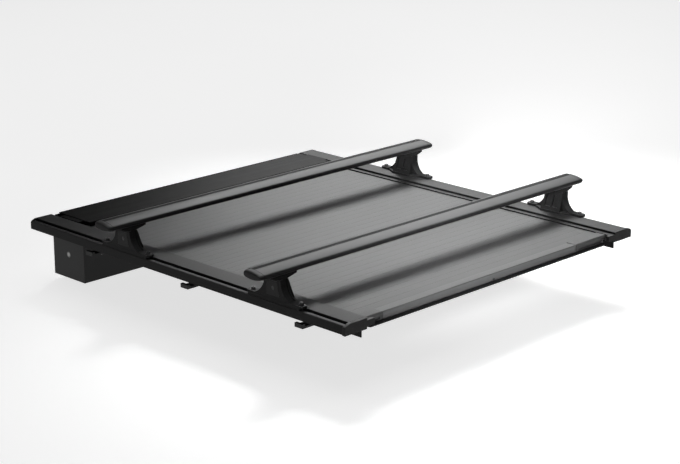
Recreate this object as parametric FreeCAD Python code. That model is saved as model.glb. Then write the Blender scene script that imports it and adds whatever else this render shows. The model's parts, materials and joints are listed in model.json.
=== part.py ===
import FreeCAD, Part
import math
import os

os.makedirs("parts", exist_ok=True)
V = FreeCAD.Vector

# Frame: X across the truck, +Y toward the cab, +Z up. The origin is the centre of the
# rail pair on the plane of the bed caps, which is the underside of both rails.

# ---- rails ----
RAIL_LEN = 1720.0
RAIL_OUT = 785.0            # outer face from the centreline
RAIL_W = 100.0              # width of the raised box
RAIL_IN = RAIL_OUT - RAIL_W
RAIL_TOP = 40.0             # flat top above the bed cap
WALL = 3.0
OUTER_LIP_Z = RAIL_TOP - 7.0   # lower lip outside the slot
SLOT_X = RAIL_OUT - 20.0    # centre of the T-slot
SLOT_MOUTH = 8.0
SLOT_WIDE = 25.0
SLOT_ROOF = OUTER_LIP_Z - 6.0
SLOT_FLOOR = SLOT_ROOF - 10.0
LEDGE_X = RAIL_IN - 37.0    # inner edge of the guide ledge
LEDGE_LOW = 9.0
LEDGE_TOP = LEDGE_LOW + 4.2
STRIP_T = 1.0
LIP_X = RAIL_IN - 21.0      # inner edge of the guide lip
LEG_X = RAIL_IN + 12.0      # clamp leg below the box
LEG_T = 4.0
LEG_DROP = 30.0
CAP_T = 10.0                # cab end
REAR_CAP_T = 14.0
CAP_FLARE = 6.0             # rear caps stand out past the rail
GASKET_W = 12.0
GASKET_T = 1.5
GASKET_IN = SLOT_X - 25.0
SCREW_R = 3.0
SCREW_FIT = 0.05
SIDE_SCREW_Z = -15.0

# ---- end rail and canister, along the bed ----
END_INSET = 15.0
END_BACK = -RAIL_LEN / 2 + END_INSET
END_W = 43.8
END_FRONT = END_BACK + END_W
CAN_FRONT = RAIL_LEN / 2 - 15.0
CAN_W = 193.0
CAN_BACK = CAN_FRONT - CAN_W
GUIDE_END = CAN_BACK - 4.0  # forward end of the guide channel

# ---- curtain ----
PITCH = 40.0
CURTAIN_BACK = END_FRONT + 1.2
SLATS = int(round((CAN_BACK + 28.0 - CURTAIN_BACK) / PITCH))
SLAT_HALF = RAIL_IN - 13.5
SLAT_LOW = LEDGE_TOP + STRIP_T + 0.2
SLAT_H = 11.6
SLAT_TOP = SLAT_LOW + SLAT_H
SLAT_GAP = 0.5
SLAT_WALL = 1.4
HINGE_Z = SLAT_LOW + 5.1
HINGE_IN = 4.9
BEAD_R = 2.3
SOCKET_R = 2.75
NECK_T = 1.4
GLIDE_HALF = RAIL_IN - 3.5
GLIDE_TOP = SLAT_TOP + 2.4
LIP_LOW = GLIDE_TOP + 0.4
LIP_TOP = LIP_LOW + 2.5

# ---- end rail ----
END_LOW = -14.0
END_PIECE_R = 201.3         # length of each moulded end
END_PIECE_L = 101.3
END_RIGHT = GLIDE_HALF - 0.2 - END_PIECE_R
END_LEFT = -(GLIDE_HALF - 0.2 - END_PIECE_L)
SEAL_HALF = LEDGE_X - 2.0
ROD_Y = END_BACK + 25.0
ROD_Z = HINGE_Z - 0.7
ROD_R = 3.0
ROD_TIP = RAIL_IN - 5.0
KEEPER_STEP = 480.0
KEEPERS = 4
CAM_Z = 7.0
LOCK_R = 5.0
CAM_PIN_R = 2.0
ROD_TRAVEL = 12.0
CAM_ARM = ROD_TRAVEL / math.sqrt(2.0)

# ---- canister ----
SHEET = 2.0
END_PLATE = 4.0
CAN_HALF = LEG_X - END_PLATE
CAN_LOW = -198.0
LID_HALF = RAIL_IN - 25.0
LID_TOP = RAIL_TOP + 5.5
LID_T = 3.0
LID_SCREW_R = 2.5
LID_SCREW_X = LID_HALF - 5.0
LID_SCREW_Z = LID_TOP - 11.5
DRUM_Y = CAN_BACK + 97.0
DRUM_Z = CAN_LOW + 98.0
DRUM_R = 28.0
DRUM_WALL = 2.5
DRUM_HALF = CAN_HALF - 33.0
HUB_LEN = 15.0
SHAFT_R = 8.0
SHAFT_LEN = 257.0
RUN_FIT = 0.05
BUSH_R = 12.0
DRAIN_R = 6.5
DRAIN_BORE = 4.5
DRAIN_X = CAN_HALF - 53.0
DRAIN_LEN = 20.0

# ---- bed clamps ----
CLAMP_LOW = -40.0
CLAMP_W = 40.0
CLAMP_BOLT_R = 4.0
JAW_LOW = CLAMP_LOW - 12.0
JAW_OUT = RAIL_IN + 55.0

# ---- crossbars and towers ----
FRONT_BAR_Y = 288.0
REAR_BAR_Y = -522.0
FOOT_HALF = 140.0
FOOT_IN = RAIL_IN + 40.0    # middle of the foot, under the column
FOOT_OUT = RAIL_OUT - 1.0
LUG_IN = SLOT_X - 15.0      # narrow ends of the foot, round the bolts
FOOT_T = 9.0
FOOT_BOLT = FOOT_HALF - 20.0
BOLT_R = 3.9
BOLT_FIT = 0.2
TOWER_H = 82.0
PED_TOP = RAIL_TOP + TOWER_H
TOWER_X = SLOT_X + 5.0      # centre of the column's top
COLUMN_W = 38.0             # across the truck at the top
COLUMN_Y = 41.0             # half width along the truck at the top
FLARE_AFT = 82.0            # where the fins meet the foot
FLARE_FORE = 102.0
RIM = 4.0                   # the fins' edges stand this far past their web
SADDLE_IN = TOWER_X - 63.0
SADDLE_OUT = TOWER_X + 50.0
SADDLE_Y = COLUMN_Y - 3.0
WING_LOW = PED_TOP + 11.0
WING_W = 90.0
WING_H = 34.0
WING_HALF = SADDLE_OUT + 41.0
WING_CAP = 22.0
WING_WALL = 2.4
WING_SLOT_Y = 17.0
WING_MOUTH = 9.0
WING_CAVITY = 18.0
CORE_R = 7.0
SOCKET_AF = 6.0
CORE_Z = RAIL_TOP + 46.0


def box(x0, x1, y0, y1, z0, z1):
    return Part.makeBox(x1 - x0, y1 - y0, z1 - z0, V(x0, y0, z0))


def prism(points, start, length):
    """Solid from a closed list of corner points, pushed by the vector length."""
    pts = [p.add(start) for p in points]
    return Part.Face(Part.makePolygon(pts + [pts[0]])).extrude(length)


def prism_x(yz, x0, x1):
    return prism([V(0, y, z) for y, z in yz], V(x0, 0, 0), V(x1 - x0, 0, 0))


def prism_y(xz, y0, y1):
    return prism([V(x, 0, z) for x, z in xz], V(0, y0, 0), V(0, y1 - y0, 0))


def prism_z(xy, z0, z1):
    return prism([V(x, y, 0) for x, y in xy], V(0, 0, z0), V(0, 0, z1 - z0))


def rod_x(r, x0, x1, y, z):
    return Part.makeCylinder(r, x1 - x0, V(x0, y, z), V(1, 0, 0))


def rod_y(r, y0, y1, x, z):
    return Part.makeCylinder(r, y1 - y0, V(x, y0, z), V(0, 1, 0))


def rod_z(r, z0, z1, x, y):
    return Part.makeCylinder(r, z1 - z0, V(x, y, z0), V(0, 0, 1))


def flip(shape):
    return shape.mirror(V(0, 0, 0), V(1, 0, 0))


def both(shape):
    return [flip(shape), shape]


def joined(shapes):
    return shapes[0].fuse(shapes[1:]).removeSplitter()


def save(name, shape):
    """One STEP file; a list becomes a group of separate solids."""
    if isinstance(shape, list):
        shape = Part.makeCompound(shape)
    shape.exportStep("parts/" + name + ".step")


# ---------------------------------------------------------------- rails

def keeper_positions():
    return [ROD_Y + i * KEEPER_STEP for i in range(KEEPERS)]


def rail_right():
    y0, y1 = -RAIL_LEN / 2, RAIL_LEN / 2
    mouth_in, mouth_out = SLOT_X - SLOT_MOUTH / 2, SLOT_X + SLOT_MOUTH / 2
    wide_in, wide_out = SLOT_X - SLOT_WIDE / 2, SLOT_X + SLOT_WIDE / 2
    outline = [(RAIL_IN, 0), (LEG_X, 0), (LEG_X, -LEG_DROP), (LEG_X + LEG_T, -LEG_DROP),
               (LEG_X + LEG_T, 0), (RAIL_OUT, 0), (RAIL_OUT, OUTER_LIP_Z - 2.5),
               (RAIL_OUT - 2.5, OUTER_LIP_Z), (mouth_out, OUTER_LIP_Z),
               (mouth_out, SLOT_ROOF), (mouth_in, SLOT_ROOF), (mouth_in, RAIL_TOP - 1.2),
               (mouth_in - 1.2, RAIL_TOP), (RAIL_IN + 1.0, RAIL_TOP), (RAIL_IN, RAIL_TOP - 1.0)]
    body = prism_y(outline, y0, y1)
    guide = [box(LEDGE_X, RAIL_IN, y0, GUIDE_END, LEDGE_LOW, LEDGE_TOP),
             box(LIP_X, RAIL_IN, y0, GUIDE_END, LIP_LOW, LIP_TOP)]
    body = joined([body] + guide)
    web = wide_in - WALL
    cuts = [box(RAIL_IN + WALL, web, y0, y1, WALL, RAIL_TOP - WALL),
            box(wide_in, RAIL_OUT - WALL, y0, y1, WALL, SLOT_FLOOR - WALL),
            box(wide_in, wide_out, y0, y1, SLOT_FLOOR, SLOT_ROOF),
            box(GASKET_IN, GASKET_IN + GASKET_W, y0, y1, 0, GASKET_T)]
    for y in keeper_positions():
        cuts.append(rod_x(ROD_R + 0.5, RAIL_IN - 1, RAIL_IN + WALL + 1, y, ROD_Z))
    for y in clamp_screw_positions():
        cuts.append(rod_x(SCREW_R + SCREW_FIT, LEG_X - 1, LEG_X + LEG_T + 1, y, SIDE_SCREW_Z))
    return body.cut(cuts)


def clamp_screw_positions():
    return [CAN_BACK + 28.0, CAN_FRONT - 25.0]


def rail_cap(end):
    """Moulded cap on one rail end; end is -1 at the tailgate, +1 at the cab."""
    t0 = RAIL_LEN / 2
    t1 = t0 + (REAR_CAP_T if end < 0 else CAP_T)
    out = RAIL_OUT + (CAP_FLARE if end < 0 else 0.0)
    plug = 15.0
    shape = [(RAIL_IN, 0), (out, 0), (out, OUTER_LIP_Z - 4), (out - 5, OUTER_LIP_Z + 1),
             (SLOT_X, RAIL_TOP), (RAIL_IN, RAIL_TOP)]
    if end < 0:
        shape += [(RAIL_IN, LIP_TOP), (LEDGE_X, LIP_TOP), (LEDGE_X, LEDGE_LOW), (RAIL_IN, LEDGE_LOW)]
    plate = prism_y(shape, t0, t1)
    inset = 0.3
    peg = box(RAIL_IN + WALL + inset, SLOT_X - SLOT_WIDE / 2 - WALL - inset,
              t0 - plug, t0, WALL + inset, RAIL_TOP - WALL - inset)
    cap = joined([plate, peg])
    edges = [e for e in cap.Edges
             if abs(e.BoundBox.YMin - t1) < 1e-6 and abs(e.BoundBox.YMax - t1) < 1e-6
             and e.BoundBox.ZMin > OUTER_LIP_Z - 8]
    cap = cap.makeChamfer(1.5, edges)
    if end < 0:
        cap = cap.mirror(V(0, 0, 0), V(0, 1, 0))
    return cap


def guide_strip():
    return box(RAIL_IN - 25.0, RAIL_IN - 0.3, -RAIL_LEN / 2, GUIDE_END, LEDGE_TOP, LEDGE_TOP + STRIP_T)


def rail_wiper():
    return box(LIP_X, LIP_X + 4.0, -RAIL_LEN / 2, GUIDE_END, SLAT_TOP + 0.5, LIP_LOW)


def rail_gasket():
    return box(GASKET_IN, GASKET_IN + GASKET_W, -RAIL_LEN / 2, RAIL_LEN / 2, 0, GASKET_T)


# ---------------------------------------------------------------- curtain

def slat(x_half):
    low_in = 2.0
    g = SLAT_GAP / 2
    c = 0.3
    flank = HINGE_Z - 1.5
    body = prism_x([(g, flank), (g + low_in, SLAT_LOW), (PITCH - g - low_in, SLAT_LOW),
                    (PITCH - g, flank), (PITCH - g, SLAT_TOP - c), (PITCH - g - c, SLAT_TOP),
                    (g + c, SLAT_TOP), (g, SLAT_TOP - c)], -x_half, x_half)
    neck = box(-x_half, x_half, PITCH - g, PITCH + HINGE_IN, HINGE_Z - NECK_T / 2, HINGE_Z + NECK_T / 2)
    bead = rod_x(BEAD_R, -x_half, x_half, PITCH + HINGE_IN, HINGE_Z)
    body = joined([body, neck, bead])
    socket = rod_x(SOCKET_R, -x_half, x_half, HINGE_IN, HINGE_Z)
    mouth = box(-x_half, x_half, 0, HINGE_IN, HINGE_Z - NECK_T / 2 - 0.4, HINGE_Z + NECK_T / 2 + 0.4)
    hollow = box(-x_half, x_half, HINGE_IN + SOCKET_R + 1.75, PITCH - 3.2, SLAT_LOW + SLAT_WALL,
                 SLAT_TOP - SLAT_WALL)
    return body.cut([socket, mouth, hollow])


def curtain():
    one = slat(SLAT_HALF)
    out = []
    for i in range(SLATS):
        s = one.copy()
        s.translate(V(0, CURTAIN_BACK + i * PITCH, 0))
        out.append(s)
    return out


def glide():
    body = box(SLAT_HALF, GLIDE_HALF, 3.0, PITCH - 3.0, SLAT_LOW, GLIDE_TOP)
    return body.makeChamfer(0.8, [e for e in body.Edges if abs(e.Length - (PITCH - 6.0)) < 1e-6])


def glides():
    one = glide()
    out = []
    for i in range(SLATS):
        s = one.copy()
        s.translate(V(0, CURTAIN_BACK + i * PITCH, 0))
        out += both(s)
    return out


# ---------------------------------------------------------------- end rail and its lock

def end_rail():
    outer = [(END_BACK, END_LOW), (END_FRONT, END_LOW), (END_FRONT, SLAT_TOP + 1.0),
             (END_BACK + 2.5, SLAT_TOP + 3.0), (END_BACK, SLAT_TOP + 1.0)]
    x0, x1 = END_LEFT, END_RIGHT
    hook_y = CURTAIN_BACK + HINGE_IN
    body = joined([prism_x(outer, x0, x1),
                   box(x0, x1, END_FRONT, hook_y, HINGE_Z - NECK_T / 2, HINGE_Z + NECK_T / 2),
                   rod_x(BEAD_R, x0, x1, hook_y, HINGE_Z)])
    hollow = box(x0, x1, END_BACK + 11.0, END_FRONT - WALL - 0.3, END_LOW + WALL, SLAT_TOP - 2.0)
    lock = rod_y(LOCK_R + RUN_FIT, END_BACK - 1, END_BACK + 12, 0, CAM_Z)
    return body.cut([hollow, lock])


def end_piece(x_in):
    """Moulded end of the end rail: outer block, step under the lip, tongue in the channel."""
    y0, y1 = END_BACK, END_FRONT
    low = LEDGE_TOP + STRIP_T + 0.4
    top = SLAT_TOP + 3.6
    step, lip, tongue = LEDGE_X - 2.0, LIP_X - 1.0, LIP_X + 5.0
    body = joined([box(x_in, step, y0, y1, END_LOW + 2.0, top), box(x_in, step, y0 - 3.0, y0, 3.0, top),
                   box(step, lip, y0 - 3.0, y1, low, top),
                   box(lip, tongue, y0 - 3.0, y1, low, SLAT_TOP + 0.2),
                   box(tongue, GLIDE_HALF - 0.2, y0 - 3.0, y1, low, GLIDE_TOP)])
    edge = prism_x([(y0 - 3.0, top - 5), (y0 + 4.0, top + 0.5), (y0 - 3.0, top + 0.5)], x_in, GLIDE_HALF)
    recess = box(x_in + 16, step - 6.0, y0 - 4.0, y0 + 3.0, 5.0, 15.0)
    rod_hole = rod_x(ROD_R + RUN_FIT, x_in - 1, GLIDE_HALF + 1, ROD_Y, ROD_Z)
    return body.cut([edge, recess, rod_hole])


def tailgate_seal():
    y0 = END_BACK - 13.0
    top = CAM_Z - LOCK_R - 0.6
    low = END_LOW + 4.0
    return prism_x([(END_BACK, low), (END_BACK, top), (END_BACK - 7, top), (y0, top - 3.0),
                    (y0, low + 3.0), (END_BACK - 7, low)], -SEAL_HALF, SEAL_HALF)


def lock_cam():
    """Lock cylinder, cam disc and its two pins, unlocked."""
    off = CAM_ARM * math.sin(math.radians(45))
    disc = rod_y(12.0, ROD_Y - 6.0, ROD_Y - 2.3, 0, CAM_Z)
    shaft = rod_y(LOCK_R, END_BACK - 2.0, ROD_Y - 6.0, 0, CAM_Z)
    top = rod_y(CAM_PIN_R, ROD_Y - 2.3, ROD_Y + 2.5, -off, CAM_Z + off)
    low = rod_y(CAM_PIN_R, ROD_Y - 2.3, ROD_Y + 2.5, off, CAM_Z - off)
    key = box(-0.6, 0.6, END_BACK - 3, END_BACK + 6, CAM_Z - 3.2, CAM_Z + 3.2)
    return joined([disc, shaft, top, low]).cut(key)


def rod_right():
    off = CAM_ARM * math.sin(math.radians(45))
    plate = box(-off - 5.5, 34.0, ROD_Y - 2.0, ROD_Y + 2.0, CAM_Z + 2.5, ROD_Z + ROD_R)
    slot = box(-off - CAM_PIN_R - 0.3, -off + CAM_PIN_R + 0.3, ROD_Y - 3, ROD_Y + 3, CAM_Z + 3.6, CAM_Z + 11.2)
    return joined([plate.cut(slot), rod_x(ROD_R, 34.0, ROD_TIP, ROD_Y, ROD_Z)])


def rod_left():
    off = CAM_ARM * math.sin(math.radians(45))
    arm = box(-30.0, off + 5.5, ROD_Y - 2.0, ROD_Y + 2.0, CAM_Z - 13.5, CAM_Z - 2.4)
    post = box(-34.0, -24.0, ROD_Y - 2.0, ROD_Y + 2.0, CAM_Z - 13.5, ROD_Z + ROD_R)
    slot = box(off - CAM_PIN_R - 0.3, off + CAM_PIN_R + 0.3, ROD_Y - 3, ROD_Y + 3, CAM_Z - 11.2, CAM_Z - 3.6)
    return joined([arm.cut(slot), post, rod_x(ROD_R, -ROD_TIP, -34.0, ROD_Y, ROD_Z)])


# ---------------------------------------------------------------- canister

def canister_floor():
    """Bottom sheet with a hole over each drain; the walls stand on it."""
    body = box(-CAN_HALF, CAN_HALF, CAN_BACK, CAN_FRONT, CAN_LOW, CAN_LOW + SHEET)
    return body.cut([rod_z(DRAIN_BORE, CAN_LOW - 1, CAN_LOW + SHEET + 1, s * DRAIN_X, DRUM_Y) for s in (-1, 1)])


def canister_rear_wall():
    return box(-CAN_HALF, CAN_HALF, CAN_BACK, CAN_BACK + SHEET, CAN_LOW + SHEET, -2.0)


def canister_front_wall():
    """Cab-side sheet; between the rails it rises to carry the lid."""
    y0 = CAN_FRONT - SHEET
    low = box(-CAN_HALF, CAN_HALF, y0, CAN_FRONT, CAN_LOW + SHEET, -1.0)
    rise = box(-RAIL_IN + 1, RAIL_IN - 1, y0, CAN_FRONT, -1.0, LID_TOP - LID_T)
    holes = [rod_y(LID_SCREW_R + 0.1, y0 - 1, CAN_FRONT + 1, x, LID_SCREW_Z) for x in lid_front_screws()]
    return joined([low, rise]).cut(holes)


def canister_end():
    plate = box(CAN_HALF, LEG_X, CAN_BACK, CAN_FRONT, CAN_LOW, -0.5)
    cuts = [rod_x(BUSH_R + 0.03, CAN_HALF - 1, LEG_X + 1, DRUM_Y, DRUM_Z)]
    for y in clamp_screw_positions():
        cuts.append(rod_x(SCREW_R + SCREW_FIT, CAN_HALF - 1, LEG_X + 1, y, SIDE_SCREW_Z))
    return plate.cut(cuts)


def canister_screws():
    out = []
    for y in clamp_screw_positions():
        head = rod_x(SCREW_R + 2.5, CAN_HALF - 4.0, CAN_HALF, y, SIDE_SCREW_Z)
        shank = rod_x(SCREW_R, CAN_HALF, LEG_X + LEG_T + 6.0, y, SIDE_SCREW_Z)
        out += both(joined([head, shank]))
    return out


def entry_nose():
    """Rounded strip on the rear wall of the canister, under the moving slats."""
    y0, y1 = CAN_BACK - 2.0, CAN_BACK + 6.0
    foot = box(-RAIL_IN + 2, RAIL_IN - 2, y0, y1, -2.0, 6.0)
    nose = rod_x(4.0, -RAIL_IN + 2, RAIL_IN - 2, (y0 + y1) / 2, SLAT_LOW - 0.3 - 4.0)
    mid = box(-RAIL_IN + 2, RAIL_IN - 2, y0, y1, 6.0, SLAT_LOW - 0.3 - 4.0)
    return joined([foot, mid, nose])


def lid_front_screws():
    return [s * (LID_HALF - 160.0) for s in (-1, -0.332, 0.332, 1)]


def lid_side_screws():
    return [CAN_BACK + 58.0, CAN_FRONT - 55.0]


def canister_lid():
    low = LID_TOP - LID_T
    y0, y1 = CAN_BACK, CAN_FRONT + 2.5
    top = prism_x([(y0, low), (y1, low), (y1, LID_TOP - 1.5), (y1 - 1.5, LID_TOP),
                   (y0 + 2.5, LID_TOP), (y0, LID_TOP - 2.5)], -LID_HALF, LID_HALF)
    front = box(-LID_HALF, LID_HALF, CAN_FRONT, y1, LID_SCREW_Z - 8.0, low)
    back = box(-LID_HALF, LID_HALF, y0, y0 + 3.0, SLAT_TOP + 2.0, low)
    body = joined([top, front, back])
    holes = [rod_y(LID_SCREW_R + 0.1, CAN_FRONT - 1, y1 + 1, x, LID_SCREW_Z) for x in lid_front_screws()]
    for y in lid_side_screws():
        for s in (-1, 1):
            holes.append(rod_z(LID_SCREW_R + 0.1, low - 1, LID_TOP - 1.0, s * LID_SCREW_X, y))
    return body.cut(holes)


def lid_bracket():
    shelf_top = LID_TOP - LID_T
    y0, y1 = CAN_BACK + 38.0, CAN_FRONT - 35.0
    shelf = box(LID_HALF - 11.0, RAIL_IN, y0, y1, shelf_top - 2.5, shelf_top)
    leg = box(RAIL_IN - 2.5, RAIL_IN, y0, y1, GLIDE_TOP + 2.6, shelf_top - 2.5)
    holes = [rod_z(LID_SCREW_R + 0.1, shelf_top - 4, shelf_top + 1, LID_SCREW_X, y) for y in lid_side_screws()]
    return joined([shelf, leg]).cut(holes)


def lid_screws():
    out = []
    under = LID_TOP - LID_T - 2.5
    for y in lid_side_screws():
        out += both(joined([rod_z(LID_SCREW_R + 2.0, under - 3.0, under, LID_SCREW_X, y),
                            rod_z(LID_SCREW_R, under, LID_TOP - 1.2, LID_SCREW_X, y)]))
    for x in lid_front_screws():
        y1 = CAN_FRONT + 2.5
        out.append(joined([rod_y(LID_SCREW_R + 2.0, y1, y1 + 3.0, x, LID_SCREW_Z),
                           rod_y(LID_SCREW_R, CAN_FRONT - SHEET - 6.0, y1, x, LID_SCREW_Z)]))
    return out


def bulkhead_seal():
    """Rubber strip between the lid and the cab wall, above the front screws."""
    y0 = CAN_FRONT + 2.5
    z0 = LID_TOP - 6.7
    return prism_x([(y0, z0), (y0 + 7.0, z0), (y0 + 10.0, z0 + 1.8), (y0 + 10.0, z0 + 3.8),
                    (y0 + 7.0, z0 + 5.6), (y0, z0 + 5.2)], -LID_HALF + 5, LID_HALF - 5)


def drain_nipples():
    out = []
    for s in (-1, 1):
        x = s * DRAIN_X
        flange = rod_z(12.0, CAN_LOW - 2.0, CAN_LOW, x, DRUM_Y)
        tube = rod_z(DRAIN_R, CAN_LOW - 2.0 - DRAIN_LEN, CAN_LOW - 2.0, x, DRUM_Y)
        bore = rod_z(DRAIN_BORE, CAN_LOW - 3.0 - DRAIN_LEN, CAN_LOW + 1, x, DRUM_Y)
        out.append(joined([flange, tube]).cut(bore))
    return out


# ---------------------------------------------------------------- drum

def drum_tube():
    tube = rod_x(DRUM_R, -DRUM_HALF, DRUM_HALF, DRUM_Y, DRUM_Z)
    return tube.cut(rod_x(DRUM_R - DRUM_WALL, -DRUM_HALF, DRUM_HALF, DRUM_Y, DRUM_Z))


def drum_hubs():
    inner = DRUM_R - DRUM_WALL
    ring = rod_x(inner, -DRUM_HALF, -DRUM_HALF + HUB_LEN, DRUM_Y, DRUM_Z)
    ring = ring.cut(rod_x(SHAFT_R + RUN_FIT, -DRUM_HALF - 1, -DRUM_HALF + HUB_LEN + 1, DRUM_Y, DRUM_Z))
    plug = joined([rod_x(inner, DRUM_HALF - HUB_LEN, DRUM_HALF, DRUM_Y, DRUM_Z),
                   rod_x(SHAFT_R, DRUM_HALF, LEG_X, DRUM_Y, DRUM_Z)])
    return [ring, plug]


def drum_bushings():
    body = joined([rod_x(BUSH_R, CAN_HALF, LEG_X, DRUM_Y, DRUM_Z),
                   rod_x(BUSH_R + 4.0, CAN_HALF - 3.0, CAN_HALF, DRUM_Y, DRUM_Z)])
    body = body.cut(rod_x(SHAFT_R + RUN_FIT, CAN_HALF - 4, LEG_X + 1, DRUM_Y, DRUM_Z))
    return both(body)


def spring_shaft():
    return rod_x(SHAFT_R, -LEG_X, -LEG_X + SHAFT_LEN, DRUM_Y, DRUM_Z)


def assist_spring():
    wire, mean, pitch, turns = 1.8, 14.0, 7.0, 24
    helix = Part.makeHelix(pitch, pitch * turns, mean)
    ring = Part.Wire(Part.Circle(V(mean, 0, 0), V(0, 1, 0), wire).toShape())
    body = Part.Wire(helix).makePipeShell([ring], True, True)
    body.rotate(V(0, 0, 0), V(0, 1, 0), 90)
    body.translate(V(-DRUM_HALF + HUB_LEN + 0.3 + wire, DRUM_Y, DRUM_Z))
    return body


def leader_straps():
    """Straps from the last slat down to the top of the empty drum."""
    r = DRUM_R + 0.4
    py, pz = CURTAIN_BACK + SLATS * PITCH + HINGE_IN + BEAD_R + 0.4, HINGE_Z
    dy, dz = py - DRUM_Y, pz - DRUM_Z
    d = math.hypot(dy, dz)
    a = math.atan2(dz, dy) - math.acos(r / d)
    ty, tz = DRUM_Y + r * math.cos(a), DRUM_Z + r * math.sin(a)
    ny, nz = math.cos(a), math.sin(a)
    t = 1.6
    out = []
    for x in (-420.0, 0.0, 420.0):
        out.append(prism_x([(py, pz), (ty, tz), (ty + t * ny, tz + t * nz), (py + t * ny, pz + t * nz)],
                           x - 25.0, x + 25.0))
    return out


# ---------------------------------------------------------------- bed clamps

def clamp_positions():
    return [-RAIL_LEN / 2 + 260.0, 0.0, CAN_BACK - 92.0]


def clamp_brackets():
    out = []
    for y in clamp_positions():
        body = prism_y([(RAIL_IN - 13, CLAMP_LOW), (LEG_X, CLAMP_LOW), (LEG_X, -0.3), (RAIL_IN, -0.3),
                        (RAIL_IN, LEDGE_LOW), (RAIL_IN - 13, LEDGE_LOW)], y - CLAMP_W / 2, y + CLAMP_W / 2)
        out += both(body.cut(rod_z(CLAMP_BOLT_R, CLAMP_LOW - 1, -14, RAIL_IN, y)))
    return out


def clamp_jaws():
    out = []
    for y in clamp_positions():
        base, shelf, tip = JAW_LOW, JAW_LOW + 8.0, CLAMP_LOW + 4.0
        body = prism_y([(RAIL_IN - 11, base), (JAW_OUT, base), (JAW_OUT, tip), (JAW_OUT - 12, tip),
                        (JAW_OUT - 12, shelf), (RAIL_IN - 11, shelf)], y - CLAMP_W / 2, y + CLAMP_W / 2)
        out += both(body.cut(rod_z(CLAMP_BOLT_R + 0.2, base - 1, shelf + 1, RAIL_IN, y)))
    return out


def clamp_bolts():
    out = []
    for y in clamp_positions():
        head = rod_z(CLAMP_BOLT_R + 2.5, JAW_LOW - 6.0, JAW_LOW, RAIL_IN, y)
        out += both(joined([head, rod_z(CLAMP_BOLT_R, JAW_LOW, -14, RAIL_IN, y)]))
    return out


# ---------------------------------------------------------------- crossbars

def wing_wire(grow):
    """Closed wing outline in the YZ plane, grown outward by grow; its crest is over the slot."""
    h, w, g = WING_H, WING_W / 2, grow
    zc = WING_LOW + h / 2
    a = V(0, w - 8, zc + 15.8 + g)
    b = V(0, w - 9, zc - 12.0 - g)
    c = V(0, -w + 8, zc - 11.5 - g)
    d = V(0, -w + 8, zc + 8.5 + g)
    arcs = [Part.Arc(a, V(0, w + g, zc - 1), b), Part.Arc(b, V(0, 0, WING_LOW - g), c),
            Part.Arc(c, V(0, -w - g, zc - 1.5), d), Part.Arc(d, V(0, WING_SLOT_Y, WING_LOW + h + g), a)]
    return Part.Wire([x.toShape() for x in arcs])


def wing_solid(grow, x0, x1, y):
    face = Part.Face(wing_wire(grow))
    face.translate(V(x0, y, 0))
    return face.extrude(V(x1 - x0, 0, 0))


def crossbar(y):
    body = wing_solid(0.0, -WING_HALF, WING_HALF, y)
    ys, top = y + WING_SLOT_Y, WING_LOW + WING_H
    hollow = wing_solid(-WING_WALL, -WING_HALF, WING_HALF, y)
    block = box(-WING_HALF, WING_HALF, ys - WING_CAVITY / 2 - 2.5, ys + WING_CAVITY / 2 + 2.5,
                top - 15.5, top + 1)
    cavity = box(-WING_HALF, WING_HALF, ys - WING_CAVITY / 2, ys + WING_CAVITY / 2, top - 13.0, top - 5.0)
    mouth = box(-WING_HALF, WING_HALF, ys - WING_MOUTH / 2, ys + WING_MOUTH / 2, top - 6.0, top + 1)
    return body.cut([hollow.cut(block), cavity, mouth])


def infill(y):
    ys, top = y + WING_SLOT_Y, WING_LOW + WING_H
    f = 0.3
    wide = box(-WING_HALF, WING_HALF, ys - WING_CAVITY / 2 + f, ys + WING_CAVITY / 2 - f,
               top - 13.0, top - 5.0 - f)
    stem = box(-WING_HALF, WING_HALF, ys - WING_MOUTH / 2 + f, ys + WING_MOUTH / 2 - f, top - 6.0, top - 1.2)
    return joined([wide, stem])


def wing_cap(y):
    """Rounded end cap, three outlines that close in toward the tip."""
    wires = []
    for dx, grow in ((0.0, 0.5), (WING_CAP * 0.6, -0.3), (WING_CAP, -5.0)):
        w = wing_wire(grow)
        w.translate(V(WING_HALF + dx, y, 0))
        wires.append(w)
    return Part.makeLoft(wires, True, True)


# ---------------------------------------------------------------- towers

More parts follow.
